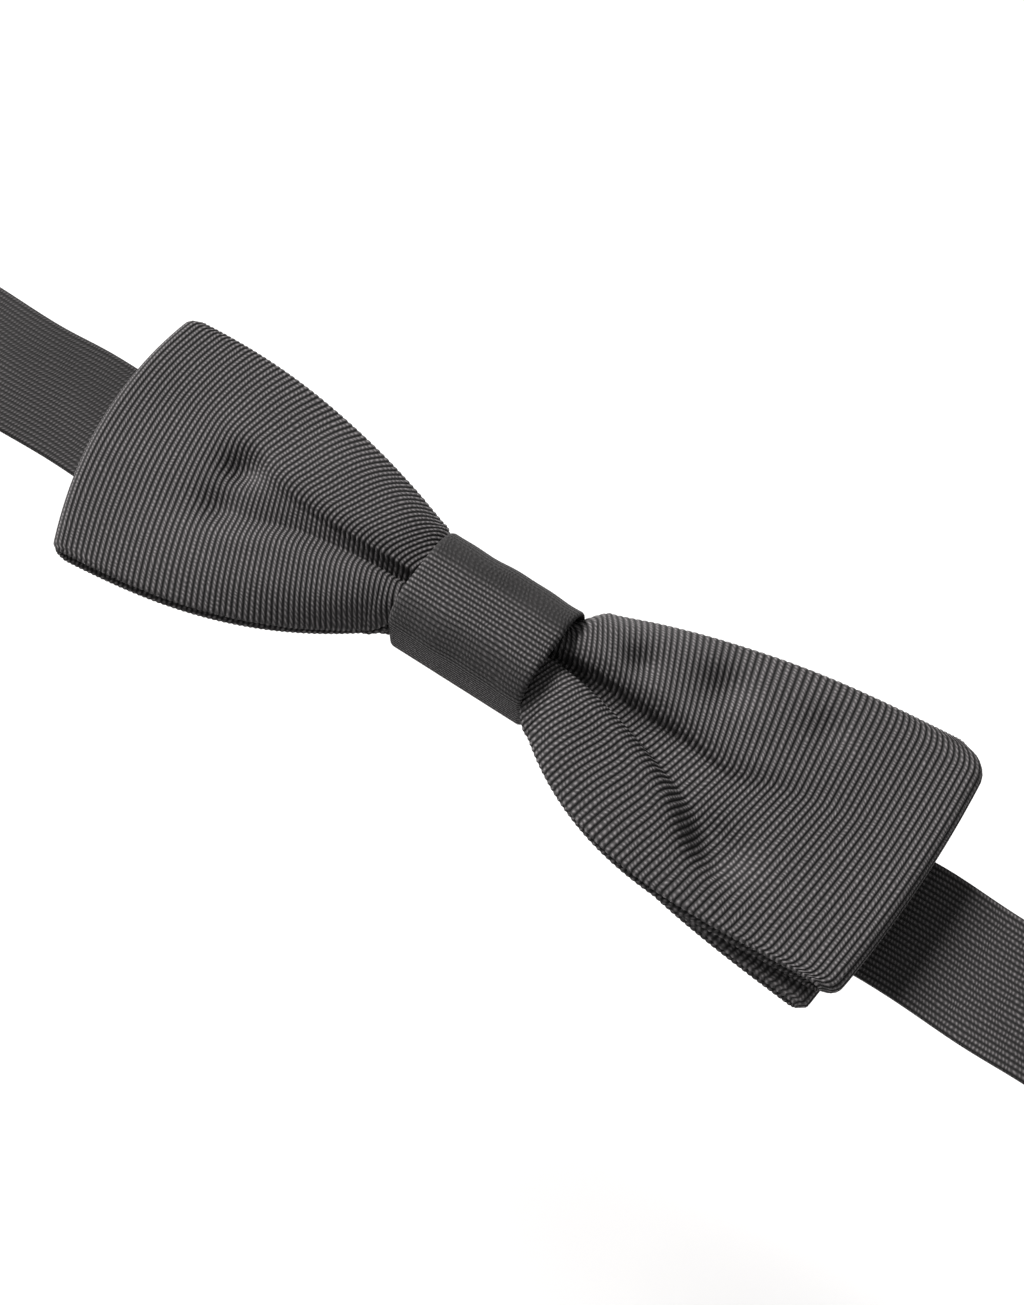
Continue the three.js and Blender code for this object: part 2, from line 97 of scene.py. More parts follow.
def add_light(name, kind, azimuth, elevation, **settings):
    data = bpy.data.lights.new(name, kind)
    for key, value in settings.items():
        setattr(data, key, value)
    light = bpy.data.objects.new(name, data)
    back = direction(azimuth, elevation)
    light.location = back * LIGHT_DISTANCE
    light.rotation_euler = back.to_track_quat("Z", "Y").to_euler()
    show(light)


def make_studio():
    reach = FLOOR_REACH
    z = FLOOR_HEIGHT * MM
    corners = [(-reach, -reach, z), (reach, -reach, z), (reach, reach, z), (-reach, reach, z)]
    mesh = bpy.data.meshes.new("floor")
    mesh.from_pydata(corners, [], [(0, 1, 2, 3)])
    floor = bpy.data.objects.new("floor", mesh)
    show(floor)
    paper = bpy.data.materials.new("studio_paper")
    paper.use_nodes = True
    shader = paper.node_tree.nodes["Principled BSDF"]
    shader.inputs["Base Color"].default_value = (0.75, 0.75, 0.75, 1)
    shader.inputs["Roughness"].default_value = 0.9
    shader.inputs["Specular IOR Level"].default_value = 0.0
    mesh.materials.append(paper)

    world = bpy.data.worlds.new("studio")
    world.use_nodes = True
    background = world.node_tree.nodes["Background"]
    background.inputs["Color"].default_value = (1.0, 1.0, 1.0, 1)
    background.inputs["Strength"].default_value = 0.24
    bpy.context.scene.world = world
    # The key is broad and far away, so the whole floor is lit alike.
    add_light("key", "SUN", -106, 37, angle=math.radians(23), energy=7.0, color=(1.0, 0.985, 0.98))
    add_light("fill", "AREA", 30, 60, size=1.2, energy=2.0)
    bpy.context.scene.view_settings.view_transform = "Standard"


make_camera()
make_studio()


# ---------- materials ----------

WEAVE = "weave"  # the cloth's own coordinates: ribs counted across, millimetres along
FLAT_DARK = "flat_dark"  # where the ribs' colour gives way to a flat dark tone: painted shade where the knot's cloth is pulled smooth, and a darker, flatter tone on the band left of the bow

# Ribbed silk
RIB_FALL = 2.6  # how steeply the colour falls from a rib's crest to its groove: the darker grooves are painted shade
BEAD_FALL = 1.4  # the same along a rib, from bead to bead: the darker gaps between beads are painted shade
BEAD_SLANT = 0.55  # how far a bead leans across one rib, in bead lengths
BEAD_WANDER = 2.5  # how far noise shifts the beads along a rib, in bead lengths
WANDER_SCALE, SPECK_SCALE, CLOUD_SCALE = 420.0, 3200.0, 55.0  # of the noise, per metre
SPECK_LIGHT = (0.3, 1.7)  # how much single fibres darken and lighten a rib
FLAT_DARK_TONE = (0.01, 0.12)  # share of the crest's colour in that flat dark tone, which on the knot is painted shade
BEAD_GAP_HEIGHT = 0.55  # height between two beads, where a bead is 1
SPECK_HEIGHT = 0.25
RIB_DEPTH = 0.00013  # metres
FAILLE_ROUGHNESS = (0.62, 0.85)

CANVAS_PITCH = 0.0006  # metres from one thread of the canvas to the next but one
THREAD_TWIST = 1.4  # turns of the plies in a millimetre
SCRATCH_STRETCH = (900.0, 6000.0, 900.0)


class Look:
    """A node material under construction."""

    def __init__(self, name):
        self.material = bpy.data.materials.new(name)
        self.material.use_nodes = True
        self.tree = self.material.node_tree
        self.shader = self.tree.nodes["Principled BSDF"]

    def add(self, kind, inputs=(), **settings):
        node = self.tree.nodes.new(kind)
        for key, value in settings.items():
            setattr(node, key, value)
        for key, value in dict(inputs).items():
            self.feed(node.inputs[key], value)
        return node

    def feed(self, socket, value):
        if isinstance(value, bpy.types.NodeSocket):
            self.tree.links.new(value, socket)
        else:
            socket.default_value = value

    def from_object(self):
        return self.add("ShaderNodeTexCoord").outputs["Object"]

    def from_weave(self):
        """The cloth's own two coordinates."""
        place = self.add("ShaderNodeUVMap", uv_map=WEAVE).outputs["UV"]
        split = self.add("ShaderNodeSeparateXYZ", {"Vector": place})
        return split.outputs["X"], split.outputs["Y"]

    def calc(self, operation, *values, clamp=False):
        node = self.add("ShaderNodeMath", enumerate(values), operation=operation, use_clamp=clamp)
        return node.outputs[0]

    def noise(self, scale, detail=3.0, vector=None):
        if vector is None:
            vector = self.from_object()
        node = self.add("ShaderNodeTexNoise", {"Vector": vector, "Scale": scale, "Detail": detail})
        return node.outputs["Fac"]

    def between(self, value, low, high):
        """Turns 0..1 into low..high."""
        node = self.add("ShaderNodeMapRange", {"Value": value, "To Min": low, "To Max": high})
        return node.outputs["Result"]

    def mix(self, share, first, second):
        node = self.add("ShaderNodeMix", data_type="RGBA")
        self.feed(node.inputs["Factor"], share)
        self.feed(node.inputs["A"], first)
        self.feed(node.inputs["B"], second)
        return node.outputs["Result"]

    def set(self, **values):
        for key, value in values.items():
            self.feed(self.shader.inputs[key.replace("_", " ")], value)

    def bump(self, height, distance, strength=1.0):
        node = self.add("ShaderNodeBump", {"Height": height, "Distance": distance, "Strength": strength})
        self.feed(self.shader.inputs["Normal"], node.outputs["Normal"])


def faille(name, crest, groove_shade, bead_pitch=0.5, bead_gap_shade=0.75, patchiness=0.2):
    """Ribbed silk: rounded ribs in which the fine warp shows as slanting beads. Its colour is darker in the
    grooves between ribs and in the gaps between beads, which is painted shade on top of the bump.
    """
    look = Look(name)
    across, along = look.from_weave()
    rib = look.calc("ABSOLUTE", look.calc("SINE", look.calc("MULTIPLY", across, math.pi)))
    number = look.calc("FLOOR", across)
    shift = look.add("ShaderNodeTexWhiteNoise", {"W": number}, noise_dimensions="1D").outputs["Value"]
    slant = look.calc("MULTIPLY", look.calc("FRACT", across), BEAD_SLANT)
    turns = look.calc("ADD", look.calc("DIVIDE", along, bead_pitch), look.calc("ADD", shift, slant))
    turns = look.calc("MULTIPLY_ADD", look.noise(WANDER_SCALE, 1.0), BEAD_WANDER, turns)
    bead = look.calc("SINE", look.calc("MULTIPLY", turns, 2 * math.pi))
    bead = look.calc("POWER", look.calc("MULTIPLY_ADD", bead, 0.5, 0.5), BEAD_FALL)
    speck = look.noise(SPECK_SCALE, 2.0)
    cloud = look.noise(CLOUD_SCALE, 2.0)

    # lit is 1 in the crest's colour and 0 in the dark colour of the grooves, which is painted shade.
    lit = look.calc("POWER", rib, RIB_FALL)
    lit = look.calc("MULTIPLY", lit, look.between(bead, 1.0 - bead_gap_shade, 1.0))
    lit = look.calc("MULTIPLY", lit, look.between(speck, *SPECK_LIGHT), clamp=True)
    # Where this attribute is set, the ribs' colour gives way to a flat dark tone: painted shade on the
    # knot's smooth top and foot.
    flat_dark = look.add("ShaderNodeAttribute", attribute_name=FLAT_DARK).outputs["Fac"]
    flat = look.between(speck, *FLAT_DARK_TONE)
    lit = look.calc("MULTIPLY_ADD", look.calc("SUBTRACT", flat, lit), flat_dark, lit)
    colour = look.mix(lit, groove_shade, crest)
    shade = look.between(cloud, 1.0 - patchiness, 1.0 + patchiness)
    colour = look.add("ShaderNodeVectorMath", {0: colour, "Scale": shade}, operation="SCALE").outputs[0]
    height = look.calc("MULTIPLY", rib, look.between(bead, BEAD_GAP_HEIGHT, 1.0))
    height = look.calc("MULTIPLY_ADD", speck, SPECK_HEIGHT, height)
    look.set(Base_Color=colour, Roughness=look.between(speck, *FAILLE_ROUGHNESS),
             Specular_IOR_Level=0.2, Sheen_Weight=0.03, Sheen_Roughness=0.45)
    look.bump(height, RIB_DEPTH)
    return look.material


def canvas(name, light, dark):
    """Plain-woven interlining cloth."""
    look = Look(name)
    place = look.add("ShaderNodeSeparateXYZ", {"Vector": look.from_object()})
    per_metre = 2 * math.pi / CANVAS_PITCH
    warp = look.calc("SINE", look.calc("MULTIPLY", place.outputs["X"], per_metre))
    weft = look.calc("SINE", look.calc("MULTIPLY", place.outputs["Y"], per_metre))
    weave = look.calc("MULTIPLY_ADD", look.calc("MULTIPLY", warp, weft), 0.5, 0.5)
    slub = look.noise(scale=900.0)
    look.set(Base_Color=look.mix(look.calc("MULTIPLY", weave, slub), dark, light),
             Roughness=look.between(slub, 0.85, 1.0))
    look.bump(weave, distance=0.0001)
    return look.material


def fibre(name, light, dark):
    """Loose cotton wadding."""
    look = Look(name)
    fluff = look.noise(scale=1500.0, detail=6.0)
    look.set(Base_Color=look.mix(fluff, dark, light), Roughness=look.between(fluff, 0.9, 1.0))
    look.bump(fluff, distance=0.0004)
    return look.material


def sewing_thread(name, light, dark):
    """Two plies twisted together. The weave coordinates turn once round the thread."""
    look = Look(name)
    around, along = look.from_weave()
    turns = look.calc("MULTIPLY_ADD", along, THREAD_TWIST, around)
    ply = look.calc("ABSOLUTE", look.calc("SINE", look.calc("MULTIPLY", turns, 2 * math.pi)))
    hair = look.noise(scale=4000.0)
    lit = look.calc("MULTIPLY", ply, look.between(hair, 0.6, 1.2))
    look.set(Base_Color=look.mix(lit, dark, light), Roughness=look.between(hair, 0.55, 0.75),
             Sheen_Weight=0.1)
    look.bump(ply, distance=0.00008)
    return look.material


def plated_metal(name, bright, dull):
    """Dark nickel plate, tumbled, with fine scratches and a few worn patches."""
    look = Look(name)
    stretched = look.add("ShaderNodeMapping", {"Vector": look.from_object(), "Scale": SCRATCH_STRETCH})
    scratch = look.noise(1.0, 4.0, stretched.outputs["Vector"])
    cloud = look.noise(scale=220.0, detail=4.0)
    look.set(Base_Color=look.mix(cloud, dull, bright), Metallic=1.0,
             Roughness=look.between(look.calc("MULTIPLY", scratch, cloud), 0.22, 0.55))
    look.bump(scratch, distance=0.00002, strength=0.4)
    return look.material


def grey(value, warmth=0.0):
    """A grey with a little more red and a little less green."""
    return (value * (1 + warmth), value * (1 - warmth * 0.4), value, 1)


# The knot's and the band's copies of the silk are painted darker than the bow's, partly as painted shade:
# for the knot's shaded lower part and for the band beside the bow.
BOW_FAILLE = faille("bow_faille", grey(0.170, 0.045), grey(0.010, 0.03))
KNOT_FAILLE = faille("knot_faille", grey(0.150, 0.04), grey(0.008, 0.03), bead_pitch=0.62, bead_gap_shade=0.65)
BAND_FAILLE = faille("band_faille", grey(0.126, 0.045), grey(0.010, 0.03), patchiness=0.25)
CANVAS = canvas("interlining_canvas", grey(0.55, 0.05), grey(0.22, 0.06))
WADDING = fibre("cotton_wadding", grey(0.20, 0.04), grey(0.11, 0.05))
THREAD = sewing_thread("sewing_thread", grey(0.060, 0.04), grey(0.012))
METAL = plated_metal("gunmetal_plate", grey(0.24, 0.01), grey(0.13, 0.01))


# ---------- grids of points ----------

def ease(share):
    """0 below 0, 1 above 1 and a smooth climb in between."""
    share = np.clip(share, 0, 1)
    return share * share * (3 - 2 * share)


def follow(points, x):
    """A smooth curve through the (x, y) points."""
    at, level = np.array(points, float).T
    slope = np.gradient(level, at)
    i = np.clip(np.searchsorted(at, x) - 1, 0, len(at) - 2)
    width = at[i + 1] - at[i]
    t = np.clip((x - at[i]) / width, 0, 1)
    start = (2 * t**3 - 3 * t**2 + 1) * level[i] + (t**3 - 2 * t**2 + t) * width * slope[i]
    return start + (3 * t**2 - 2 * t**3) * level[i + 1] + (t**3 - t**2) * width * slope[i + 1]


def run_along(path):
    """How far along a path each of its points is."""
    return np.concatenate([[0], np.cumsum(np.linalg.norm(np.diff(path, axis=0), axis=1))])


def grid_faces(rows, columns, closed):
    """Corner numbers of a grid's faces, row by row, and each corner's row and column before wrapping."""
    last = rows if closed else rows - 1
    i, j = (a.ravel() for a in np.meshgrid(np.arange(last), np.arange(columns), indexing="ij"))
    steps = [(i, j), (i + 1, j), (i + 1, j + 1), (i, j + 1)]
    corners = np.stack([(a % rows) * columns + b % columns for a, b in steps], 1)
    return corners, steps


def facing(points, closed):
    """1 if the grid's faces point outwards and -1 if they point inwards."""
    rows, columns = points.shape[:2]
    corners, _ = grid_faces(rows, columns, closed)
    flat = (points - points.mean(axis=(0, 1))).reshape(-1, 3)
    a, b, c, d = (flat[corners[:, k]] for k in range(4))
    volume = np.einsum("ij,ij->i", a, np.cross(b, c)) + np.einsum("ij,ij->i", a, np.cross(c, d))
    return 1 if volume.sum() > 0 else -1


def raised(points, heights, closed):
    """The grid with each point moved out along the surface's normal."""
    if closed:
        along = np.roll(points, -1, 0) - np.roll(points, 1, 0)
    else:
        along = np.gradient(points, axis=0)
    around = np.roll(points, -1, 1) - np.roll(points, 1, 1)
    normal = np.cross(along, around) * facing(points, closed)
    length = np.linalg.norm(normal, axis=2, keepdims=True)
    return points + normal / np.maximum(length, 1e-9) * heights[..., None]


def grid_object(name, points, weave, look, closed=False, flat_dark=None):
    """A closed mesh from a grid of points. The second index goes round a closed section. The first
    goes along the piece, and comes back to its start if closed, or else is capped at both ends.
    weave has one more entry than points in each direction that closes. The last argument gives a number for
    each point: how far the ribs' colour gives way to a flat dark tone, which on the knot is painted shade."""
    rows, columns = points.shape[:2]
    corners, steps = grid_faces(rows, columns, closed)
    uv = np.stack([weave[a, b] for a, b in steps], 1)
    if facing(points, closed) < 0:
        corners, uv = corners[:, ::-1], uv[:, ::-1]
    faces = corners.tolist()
    if not closed:
        first = list(range(columns))
        last = [(rows - 1) * columns + k for k in range(columns)]
        forward = facing(points, closed) > 0
        faces.append(first if forward else first[::-1])
        faces.append(last[::-1] if forward else last)
        uv = np.concatenate([uv.reshape(-1, 2), np.zeros((2 * columns, 2))])
    mesh = bpy.data.meshes.new(name)
    mesh.from_pydata((points.reshape(-1, 3) * MM).tolist(), [], faces)
    layer = mesh.uv_layers.new(name=WEAVE)
    layer.data.foreach_set("uv", uv.astype(np.float32).ravel())
    mesh.polygons.foreach_set("use_smooth", [True] * len(corners) + [False] * (len(faces) - len(corners)))
    if not closed:
        # Sharp rims keep the flat caps from tilting the shading of the first and last rows.
        pairs = np.zeros(2 * len(mesh.edges), np.int32)
        mesh.edges.foreach_get("vertices", pairs)
        pairs = pairs.reshape(-1, 2)
        rim = (pairs.max(1) < columns) | (pairs.min(1) >= (rows - 1) * columns)
        mesh.edges.foreach_set("use_edge_sharp", rim)
    if flat_dark is not None:
        values = flat_dark.astype(np.float32).ravel()
        mesh.attributes.new(FLAT_DARK, "FLOAT", "POINT").data.foreach_set("value", values)
    mesh.materials.append(look)
    piece = bpy.data.objects.new(name, mesh)
    show(piece)
    return piece


# ---------- the two loops of the bow ----------

KNOT_OFFSET = 1.2  # the knot sits a little above the band's centre line
WAIST_HEIGHT = 11.2
WAIST_REACH = 10.6
FLARE_REACH = 12.5
FLARE_START = 8.4  # the pleats open inside the knot and spread as they leave it
WING_DROOP = 1.9
CLOTH = 0.62
RIB_PITCH = 0.74
RIB_HEIGHT = 0.12
CORNER_STEP = 0.28  # how far the rounded long edge stands out
WAIST_COLUMNS = 9  # nearer the middle than this, the knot hides the loop
INNER_WIDENING = 1.1  # a fold is wider on the leaf's inner face
RIDGE_OFFSET, RIDGE_WIDTH = 1.4, 1.6
FREE_DEPTH, SINK_LIMIT = 1.5, 0.85  # the front sinks freely to the first and by less than the second more
STEP_SHARE = 0.18  # part of the way from crest to bottom that a fold's step takes
SLOPE_CURVE = 1.15
DOME_FLATNESS = 2.6
RIPPLE = 0.10  # height of the gentle unevenness of the front leaf
FOLD_ROWS = (2.2, 0.10)  # extra rows beside the fold: how many times more, and over what share
EDGE_ROWS = (1.5, 0.03)  # the same at the long edges

# A loop's middle is its height over the band's back and half is half its thickness. A wing's top and foot
# are edges: height beside the knot, height at the corner, and two swells in between. reach and corners
# are the distance of the wing's end and its corners' radii, at the foot and at the top.
FRONT = {
    "middle": 7.8,
    "half": 1.7,
    "left": {"top": (9.8, 16.7, 3.1, 3.1), "foot": (-7.6, -20.3, -5.4, -3.2),
             "reach": (52.6, 59.2), "bulge": 3.3, "corners": (0.4, 1.0)},
    "right": {"top": (11.3, 21.2, 3.3, 2.4), "foot": (-7.5, -14.5, -9.5, -2.8),
              "reach": (60.4, 61.3), "bulge": 1.0, "corners": (1.6, 3.0)},
}
REAR = {
    "middle": 4.5,
    "half": 1.3,
    "left": {"top": (9.0, 16.2, 2.2, 2.5), "foot": (-6.0, -18.0, -2.6, -2.0),
             "reach": (51.4, 57.6), "bulge": 3.4, "corners": (0.4, 0.8)},
    "right": {"top": (10.2, 20.2, 3.2, 2.8), "foot": (-6.9, -16.8, -4.9, -2.5),
              "reach": (58.2, 59.0), "bulge": 0.8, "corners": (0.6, 1.6)},
}

# The fold that runs out from the knot on each wing, by distance from the middle: the crest above it, its
# bottom, the crest below it, its depth, the share of that which is a step under the upper crest, and how far
# each crest stands up.
PLEATS = {
    "left": {
        "upper": [(6, 2.0), (11, 1.4), (17, 1.1), (23, 1.2), (34, 2.6), (40, 4.2), (48, 6.0)],
        "bottom": [(6, 0.6), (11, 0.3), (17, 0.0), (21, -0.4), (27, -1.4), (34, -3.6), (40, -4.8),
                   (48, -5.6)],
        "lower": [(6, -0.8), (11, -1.0), (15, -1.4), (22, -3.0), (29, -4.2), (34, -6.4), (40, -8.0),
                  (48, -9.0)],
        "depth": [(6, 1.8), (11, 2.3), (20, 2.1), (30, 1.6), (38, 0.7), (46, 0.0), (60, 0.0)],
        "step": [(6, 0.4), (12, 0.4), (24, 0.35), (32, 0.25), (40, 0.0), (60, 0.0)],
        "upper_ridge": [(6, 0.0), (12, 0.1), (20, 0.5), (32, 0.55), (40, 0.25), (48, 0.0), (60, 0.0)],
        "lower_ridge": [(6, 0.0), (12, 0.1), (20, 0.4), (30, 0.45), (38, 0.2), (46, 0.0), (60, 0.0)],
    },
    "right": {
        "upper": [(6, 2.9), (10.5, 3.0), (17, 2.9), (24, 2.7), (28, 2.6), (36, 2.0), (42, 3.4), (50, 5.0)],
        "bottom": [(6, 1.9), (10.5, 1.8), (17, 0.8), (24, -0.8), (30, -2.8), (37, -5.6), (50, -8.4)],
        "lower": [(6, 1.1), (10.5, 1.0), (17, -0.1), (24, -2.0), (30, -4.6), (37, -9.0), (50, -12.5)],
        "depth": [(6, 3.0), (10.5, 3.5), (17, 3.5), (24, 3.3), (30, 2.7), (37, 1.8), (44, 0.5), (50, 0.0),
                  (60, 0.0)],
        "step": [(6, 0.65), (12, 0.65), (26, 0.6), (34, 0.3), (42, 0.0), (60, 0.0)],
        "upper_ridge": [(6, 0.0), (12, 0.6), (20, 1.0), (30, 0.8), (38, 0.4), (46, 0.0), (60, 0.0)],
        "lower_ridge": [(6, 0.0), (12, 0.2), (18, 0.9), (28, 1.4), (36, 1.0), (44, 0.0), (60, 0.0)],
    },
}
# Dimples pressed into the front: distance, height, length, width and depth.
DIMPLES = {
    "left": [(38.4, 1.8, 2.8, 2.3, 2.3), (38.3, -4.4, 2.6, 2.1, 1.1), (34.0, 9.5, 5.0, 3.5, 0.3)],
    "right": [(39.4, -7.8, 4.0, 3.2, 2.3), (19.6, 6.8, 2.4, 2.0, 1.6), (29.6, 10.6, 3.0, 2.7, 2.0),
              (42.6, 13.0, 2.7, 2.4, 0.9)],
}
# How far the front swells out beside the knot, and how far its long edges roll back.
LIFT = [(0, 0.0), (6, 0.0), (10, 0.9), (15, 1.9), (22, 1.8), (34, 1.1), (48, 0.35), (60, 0.0)]
ROLL = [(0, 0.0), (8, 0.4), (12, 1.7), (18, 1.5), (28, 0.9), (45, 0.4), (60, 0.2)]
# How far each millimetre away from the crest holds the ribs back towards the knot, above and below.
LEAN_ABOVE = [(0, 0.0), (6, 0.1), (13, 0.46), (24, 0.40), (36, 0.22), (48, 0.06), (57, 0.0)]
LEAN_BELOW = [(0, 0.0), (6, 0.1), (13, 0.34), (24, 0.36), (36, 0.24), (48, 0.08), (57, 0.0)]


def edge_height(edge, waist, distance, reach):
    """The height of a long edge, which runs from the pleated waist out along the wing."""
    near, far, swell_near, swell_far = edge
    out = np.clip((distance - FLARE_REACH) / (reach - FLARE_REACH), 0, 1)
    wing = near + (far - near) * out
    wing = wing + 3 * (1 - out)**2 * out * swell_near + 3 * (1 - out) * out**2 * swell_far
    open_share = ease((distance - FLARE_START) / (FLARE_REACH - FLARE_START))
    return waist + (wing - waist) * open_share


def fold_depth(pleat, distance, y, widen):
    """How deep the fold lies at (distance, y), with its two crests widen further apart than given."""
    upper = follow(pleat["upper"], distance) + widen
    bottom = follow(pleat["bottom"], distance)
    lower = follow(pleat["lower"], distance) - widen
    above = np.clip((upper - y) / (upper - bottom), 0, 1)
    below = np.clip((y - lower) / (bottom - lower), 0, 1)
    step = follow(pleat["step"], distance)
    above = step * ease(above / STEP_SHARE) + (1 - step) * above**SLOPE_CURVE
    return follow(pleat["depth"], distance) * np.minimum(above, below**SLOPE_CURVE)


def front_relief(side, distance, share, y, foot, top, widen):
    """How far the front leaf stands above its flat height."""
    pleat = PLEATS[side]
    upper = follow(pleat["upper"], distance)
    lower = follow(pleat["lower"], distance)
    in_upper = np.clip((y - upper) / np.maximum(top - upper, 0.1), 0, 1)
    in_lower = np.clip((lower - y) / np.maximum(lower - foot, 0.1), 0, 1)
    lobe = np.maximum(in_upper, in_lower)
    dome = np.where(lobe > 0, 1 - np.abs(2 * lobe - 1)**DOME_FLATNESS, 0)
    from_middle = np.abs(2 * share - 1)
    z = follow(LIFT, distance) * (0.5 + 0.5 * dome) * (1 - from_middle**6)
    z = z - follow(ROLL, distance) * from_middle**4
    z = z - fold_depth(pleat, distance, y, widen)
    for crest, ridge, outward in ((upper, "upper_ridge", 1), (lower, "lower_ridge", -1)):
        from_ridge = (y - crest - outward * RIDGE_OFFSET) / RIDGE_WIDTH
        z = z + follow(pleat[ridge], distance) * np.exp(-from_ridge**2)
    for at, height, length, width, depth in DIMPLES[side]:
        z = z - depth * np.exp(-((distance - at) / length)**2 - ((y - height) / width)**2)
    z = z + RIPPLE * np.sin(distance * 0.21 + y * 0.13) * np.sin(y * 0.24 + 0.8) * ease((distance - 18) / 12)
    # The lining inside holds the leaf up where a fold or a dimple would sink through it.
    too_deep = np.maximum(-z - FREE_DEPTH, 0)
    return np.maximum(z, -FREE_DEPTH) - SINK_LIMIT * np.tanh(too_deep / SINK_LIMIT)


def loop_columns(loop, ribs_in):
    """Sample places round a loop: x, the angle turned round its end folds, and the ribs counted so far.
    ribs_in says how many samples a rib has in each part of the loop."""
    half = loop["half"]
    left, right = (loop[side]["reach"][1] - half for side in ("left", "right"))
    front = left + right
    length = 2 * front + 2 * math.pi * half
    count = round(length / RIB_PITCH)
    pitch = length / count
    counted = []
    for rib in range(count):
        run = (rib + 0.5) * pitch
        on_front = run < front
        on_back = front + math.pi * half < run < 2 * front + math.pi * half
        x = run - left if on_front else right - (run - front - math.pi * half)
        kind = "front" if on_front else "back" if on_back else "fold"
        if kind != "fold" and abs(x) < WAIST_COLUMNS:
            kind = "waist"
        samples = ribs_in[kind]
        counted += [(rib + k / samples) for k in range(samples)]
    counted = np.array(counted)
    run = counted * pitch
    x = np.where(run < front, run - left, right - (run - front - math.pi * half))
    x = np.clip(x, -left, right)
    turn = np.where(run < front, 0.0, np.minimum((run - front) / half, math.pi))
    past = run > 2 * front + math.pi * half
    turn = np.where(past, math.pi - (run - 2 * front - math.pi * half) / half, turn)
    return x, turn, np.append(counted, count)


def loop_rows(outer, inner, centre):
    """Shares across a leaf, first over its outside and then back over its inside. The rows are closer
    together beside the fold and at the edges. depth is 0 outside and 1 inside, and push is 1 where the
    leaf's upper long edge stands out and -1 at its lower one."""
    fine = np.linspace(0, 1, 2001)
    density = 1 + FOLD_ROWS[0] * np.exp(-((fine - centre) / FOLD_ROWS[1])**2)
    density = density + EDGE_ROWS[0] * np.exp(-(np.minimum(fine, 1 - fine) / EDGE_ROWS[1])**2)
    total = np.concatenate([[0], np.cumsum((density[1:] + density[:-1]) / 2)])
    total = total / total[-1]
    outside = np.interp(np.linspace(0, 1, outer), total, fine)
    inside = np.interp(np.linspace(1, 0, inner), total, fine)
    share = np.concatenate([outside, [1], inside, [0]])
    depth = np.concatenate([np.zeros(outer), [0.5], np.ones(inner), [0.5]])
    push = np.concatenate([np.zeros(outer), [1], np.zeros(inner), [-1]])
    return share, depth, push


def loop_surface(loop, x, turn, share, depth, push, is_front):
    """Points of a loop of cloth for matching columns (x, turn) and rows (share, depth, push)."""
    half = loop["half"]
    out = np.zeros((len(x), len(share), 3))
    for side, sign in (("left", -1), ("right", 1)):
        wing = loop[side]
        here = (x < 0) if side == "left" else (x >= 0)
        reach = wing["reach"][1] - half
        flat = np.abs(x[here])[:, None] + 0 * share[None]
        angle = turn[here][:, None] + 0 * share[None]
        v = share[None] + 0 * flat
        waist = WAIST_HEIGHT / 2
        # The ribs fan out round the crest: the further from it, the nearer to the knot they stay.
        upright_foot = edge_height(wing["foot"], KNOT_OFFSET - waist, flat, reach)
        upright_top = edge_height(wing["top"], KNOT_OFFSET + waist, flat, reach)
        upright_y = upright_foot + (upright_top - upright_foot) * v
        crest = follow(PLEATS[side]["upper"], flat)
        gap = np.sqrt((upright_y - crest)**2 + 0.16) - 0.4
        lean = np.where(upright_y > crest, follow(LEAN_ABOVE, flat), follow(LEAN_BELOW, flat)) * gap
        on_front = (1 + np.cos(angle)) / 2
        distance = flat - lean * (0.4 + 0.6 * on_front)
        foot = edge_height(wing["foot"], KNOT_OFFSET - waist, distance, reach)
        top = edge_height(wing["top"], KNOT_OFFSET + waist, distance, reach)
        y = foot + (top - foot) * v + push[None] * CORNER_STEP
        along = np.clip((distance - FLARE_REACH) / (reach - FLARE_REACH), 0, 1)
        low, high = wing["reach"]
        end = low + (high - low) * v + 4 * v * (1 - v) * wing["bulge"] - high
        for radius, from_edge in zip(wing["corners"], (v * (top - foot), (1 - v) * (top - foot))):
            near = np.clip(1 - from_edge / radius, 0, 1)
            end = end - radius * (1 - np.sqrt(1 - near**2)) * along**6
        round_half = half - CLOTH * depth[None]
        widen = INNER_WIDENING * depth[None]
        droop = WING_DROOP * np.clip((distance - WAIST_REACH) / (reach - WAIST_REACH), 0, 1)
        if is_front:
            relief = front_relief(side, distance, v, y, foot, top, widen) * on_front**2
        else:
            relief = -0.5 * follow(ROLL, distance) * np.abs(2 * v - 1)**4 * np.cos(angle)
        out[here, :, 0] = sign * (distance + along * end + round_half * np.sin(angle))
        out[here, :, 1] = y
        out[here, :, 2] = loop["middle"] - droop + round_half * np.cos(angle) + relief
    return out


def rib_shape(count):
    """Height of rounded ribs, 0 in the grooves and 1 on the crests, where count is a number of ribs."""
    return np.abs(np.sin(np.pi * count))**0.8


def make_loop(name, loop, node, ribs_in, rows, is_front):
    x, turn, counts = loop_columns(loop, ribs_in)
    share, depth, push = loop_rows(*rows, centre=0.48)
    points = loop_surface(loop, x, turn, share, depth, push, is_front)
    heights = RIB_HEIGHT * rib_shape(counts[:-1])[:, None] * (1 - 0.8 * (depth[None] > 0.9))
    points = raised(points, heights, closed=True)
    weave = np.zeros((len(x) + 1, len(share) + 1, 2))
    weave[..., 0] = counts[:, None]
    weave[:-1, :-1, 1] = points[..., 1]
    weave[-1, :-1, 1] = points[0, :, 1]
    weave[:, -1, 1] = weave[:, 0, 1]
    piece = grid_object(name, points, weave, BOW_FAILLE, closed=True)
    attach(piece, "bow")
    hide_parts(node)


make_loop("front_loop", FRONT, "front_bow", {"front": 5, "fold": 5, "back": 2, "waist": 2},
          (64, 18), True)
make_loop("rear_loop", REAR, "rear_bow", {"front": 2, "fold": 5, "back": 5, "waist": 2},
          (50, 14), False)


LINING_INSET = 2.0  # from the loop's long edges
LINING_END_GAP = 1.0
LINING_LEVELS = (0.12, 0.32)  # its two faces, above the back leaf's cloth


